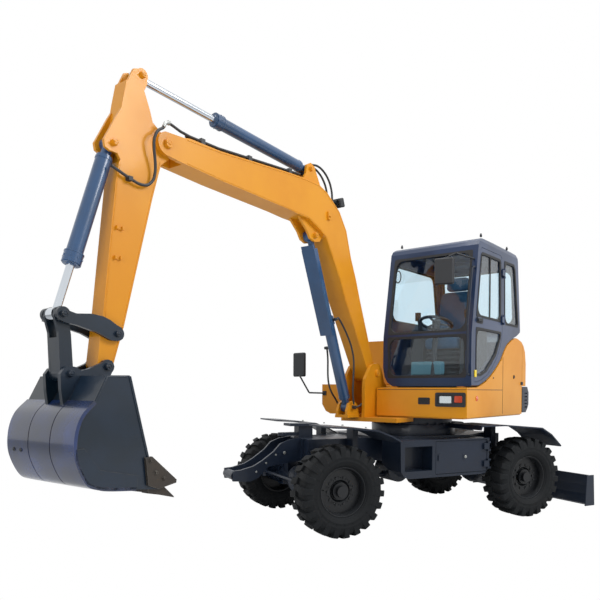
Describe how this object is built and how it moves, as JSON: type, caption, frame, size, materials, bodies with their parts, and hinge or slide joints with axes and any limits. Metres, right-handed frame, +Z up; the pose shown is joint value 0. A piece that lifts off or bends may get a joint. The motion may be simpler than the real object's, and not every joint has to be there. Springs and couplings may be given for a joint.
{
  "type": "wheeled excavator",
  "caption": "Compact wheeled excavator: lugged tyres, steered front axle and a rear blade under a slewing house with a glazed cab, and a digging arm of boom, stick and toothed bucket moved by cylinders.",
  "frame": {"origin": "On the ground, at the middle of the bounding box of the whole machine in its stored pose, +Z up.", "axes": "+X is the chassis travelling forward, away from the blade; +Y is to the driver's left when the cab faces forward; +Z is up. The upper body is stored slewed 27 degrees to the left about +Z."},
  "size_m": [5.75, 3.2912, 3.5302],
  "materials": {
    "yellow_paint": "semi-gloss paint",
    "dark_paint": "satin paint",
    "cylinder_paint": "semi-gloss paint",
    "rod_chrome": "polished",
    "tyre_rubber": "matt, lugged",
    "rim_paint": "satin paint",
    "window_glass": "clear, faintly green",
    "seat_fabric": "woven cover",
    "trim_plastic": "fine grain",
    "lamp_plastic": "clear lens in a dark housing",
    "hose_rubber": "smooth",
    "cast_block": "as cast"
  },
  "bodies": {
    "chassis": {"chassis_frame": "dark_paint", "axles": "dark_paint", "front_bumper": "dark_paint", "fenders": "dark_paint", "step_boxes": "dark_paint"},
    "upper": {"upper_frame": "yellow_paint", "house_panels": "yellow_paint", "counterweight": "dark_paint", "engine": "cast_block", "cab_shell": "dark_paint", "cab_glass": "window_glass", "seat": "seat_fabric", "controls": "trim_plastic", "mirrors": "trim_plastic", "grab_rail": "dark_paint", "house_lamps": "lamp_plastic", "house_hoses": "hose_rubber"},
    "cover": {"engine_hood": "yellow_paint"},
    "door": {"door": "dark_paint", "door_glass": "window_glass"},
    "box_lid": {"box_lid": "dark_paint"},
    "boom": {"boom": "yellow_paint", "boom_lamp": "lamp_plastic", "boom_pipes": "hose_rubber", "boom_hoses": "hose_rubber"},
    "boom_barrel": {"boom_cyl_barrel": "cylinder_paint", "boom_cyl_hoses": "hose_rubber"},
    "boom_rod": {"boom_cyl_rod": "rod_chrome"},
    "stick": {"stick": "yellow_paint", "stick_hose": "hose_rubber"},
    "stick_barrel": {"stick_cyl_barrel": "cylinder_paint"},
    "stick_rod": {"stick_cyl_rod": "rod_chrome"},
    "guide_links": {"guide_links": "dark_paint"},
    "tipping_link": {"tipping_link": "dark_paint"},
    "bucket": {"bucket": "dark_paint", "bucket_teeth": "dark_paint"},
    "bucket_barrel": {"bucket_cyl_barrel": "cylinder_paint"},
    "bucket_rod": {"bucket_cyl_rod": "rod_chrome"},
    "blade": {"blade": "dark_paint"},
    "blade_barrel": {"blade_barrel": "cylinder_paint"},
    "blade_rod": {"blade_rod": "rod_chrome"},
    "knuckle_left": {"knuckle_left": "dark_paint"},
    "knuckle_right": {"knuckle_right": "dark_paint"},
    "tie_rod": {"tie_rod": "dark_paint"},
    "wheel_front_left": {"tyre_front_left": "tyre_rubber", "rim_front_left": "rim_paint"},
    "wheel_front_right": {"tyre_front_right": "tyre_rubber", "rim_front_right": "rim_paint"},
    "wheel_rear_left": {"tyre_rear_left": "tyre_rubber", "rim_rear_left": "rim_paint"},
    "wheel_rear_right": {"tyre_rear_right": "tyre_rubber", "rim_rear_right": "rim_paint"}
  },
  "joints": [
    {"name": "slew", "type": "hinge", "parent": "chassis", "child": "upper", "pos_m": [-1.084, -0.319, 1.0547], "axis": [0, 0, 1], "continuous": true},
    {"name": "boom", "type": "hinge", "parent": "upper", "child": "boom", "pos_m": [-0.4708, -0.32642, 1.519], "axis": [0.454, -0.891, 0], "range_deg": [-28, 10]},
    {"name": "boom_cylinder", "type": "hinge", "parent": "upper", "child": "boom_barrel", "pos_m": [-0.15805, -0.16707, 1.161], "axis": [0.454, -0.891, 0], "range_deg": [-27.68, 10.21]},
    {"name": "boom_rod", "type": "slide", "parent": "boom_barrel", "child": "boom_rod", "axis": [0.3169, 0.1615, 0.9346], "range_m": [-0.2473, 0.0896]},
    {"name": "stick", "type": "hinge", "parent": "boom", "child": "stick", "pos_m": [1.92512, 0.89436, 3.066], "axis": [0.454, -0.891, 0], "range_deg": [-18, 22]},
    {"name": "stick_cylinder", "type": "hinge", "parent": "boom", "child": "stick_barrel", "pos_m": [0.4505, 0.14301, 3.385], "axis": [0.454, -0.891, 0], "range_deg": [-2.45, 2.88]},
    {"name": "stick_rod", "type": "slide", "parent": "stick_barrel", "child": "stick_rod", "axis": [0.8897, 0.4533, 0.0539], "range_m": [-0.168, 0.1378]},
    {"name": "bucket", "type": "hinge", "parent": "stick", "child": "bucket", "pos_m": [2.35102, 1.11137, 1.48], "axis": [0.454, -0.891, 0], "range_deg": [-25, 25]},
    {"name": "bucket_guide", "type": "hinge", "parent": "stick", "child": "guide_links", "pos_m": [2.2833, 1.07686, 1.699], "axis": [0.454, -0.891, 0], "range_deg": [-19.66, 19.66]},
    {"name": "bucket_tip_link", "type": "hinge", "parent": "guide_links", "child": "tipping_link", "pos_m": [2.61654, 1.24666, 1.794], "axis": [0.454, -0.891, 0], "range_deg": [-10.95, 10.95]},
    {"name": "bucket_cylinder", "type": "hinge", "parent": "stick", "child": "bucket_barrel", "pos_m": [2.2842, 1.07732, 2.952], "axis": [0.454, -0.891, 0], "range_deg": [-0.79, 0.79]},
    {"name": "bucket_rod", "type": "slide", "parent": "bucket_barrel", "child": "bucket_rod", "axis": [0.2732, 0.1392, -0.9518], "range_m": [-0.1287, 0.1287]},
    {"name": "cab_door", "type": "hinge", "parent": "upper", "child": "door", "pos_m": [-1.80589, 0.33786, 2.35], "axis": [0, 0, 1], "range_deg": [0, 100]},
    {"name": "engine_cover", "type": "hinge", "parent": "upper", "child": "cover", "pos_m": [-1.926, -0.74802, 1.954], "axis": [-0.454, 0.891, 0], "range_deg": [0, 55]},
    {"name": "tool_box_lid", "type": "hinge", "parent": "chassis", "child": "box_lid", "pos_m": [-1.46, 0.514, 0.675], "axis": [0, 0, 1], "range_deg": [0, 90]},
    {"name": "blade", "type": "hinge", "parent": "chassis", "child": "blade", "pos_m": [-2.174, -0.319, 0.56], "axis": [0, 1, 0], "range_deg": [-6, 10]},
    {"name": "blade_cylinder", "type": "hinge", "parent": "chassis", "child": "blade_barrel", "pos_m": [-2.169, -0.319, 0.805], "axis": [0, 1, 0], "range_deg": [-4.77, 7.61]},
    {"name": "blade_rod", "type": "slide", "parent": "blade_barrel", "child": "blade_rod", "axis": [-0.6977, 0, -0.7163], "range_m": [-0.0337, 0.021]},
    {"name": "steer_left", "type": "hinge", "parent": "chassis", "child": "knuckle_left", "pos_m": [0.258, 0.241, 0.42], "axis": [0, 0, 1], "range_deg": [-25, 25]},
    {"name": "steer_right", "type": "hinge", "parent": "chassis", "child": "knuckle_right", "pos_m": [0.258, -0.879, 0.42], "axis": [0, 0, 1], "range_deg": [-26, 26]},
    {"name": "tie_rod", "type": "hinge", "parent": "knuckle_left", "child": "tie_rod", "pos_m": [0.464, 0.241, 0.448], "axis": [0, 0, 1], "range_deg": [-26, 26]},
    {"name": "wheel_front_left", "type": "hinge", "parent": "knuckle_left", "child": "wheel_front_left", "pos_m": [0.258, 0.466, 0.42], "axis": [0, 1, 0], "continuous": true},
    {"name": "wheel_front_right", "type": "hinge", "parent": "knuckle_right", "child": "wheel_front_right", "pos_m": [0.258, -1.104, 0.42], "axis": [0, 1, 0], "continuous": true},
    {"name": "wheel_rear_left", "type": "hinge", "parent": "chassis", "child": "wheel_rear_left", "pos_m": [-1.946, 0.466, 0.42], "axis": [0, 1, 0], "continuous": true},
    {"name": "wheel_rear_right", "type": "hinge", "parent": "chassis", "child": "wheel_rear_right", "pos_m": [-1.946, -1.104, 0.42], "axis": [0, 1, 0], "continuous": true}
  ],
  "couplings": [
    {"joint": "boom_cylinder", "follows": "boom", "ratio": 0.91567},
    {"joint": "boom_rod", "follows": "boom", "m_per_rad": 0.47354},
    {"joint": "stick_cylinder", "follows": "stick", "ratio": 0.10189},
    {"joint": "stick_rod", "follows": "stick", "m_per_rad": -0.40775},
    {"joint": "bucket_guide", "follows": "bucket", "ratio": 0.72315},
    {"joint": "bucket_tip_link", "follows": "bucket", "ratio": -0.39418},
    {"joint": "bucket_cylinder", "follows": "bucket", "ratio": 0.011035},
    {"joint": "bucket_rod", "follows": "bucket", "m_per_rad": -0.27396},
    {"joint": "blade_cylinder", "follows": "blade", "ratio": 0.67096},
    {"joint": "blade_rod", "follows": "blade", "m_per_rad": -0.17132},
    {"joint": "steer_right", "follows": "steer_left", "ratio": 1},
    {"joint": "tie_rod", "follows": "steer_left", "ratio": -1}
  ]
}
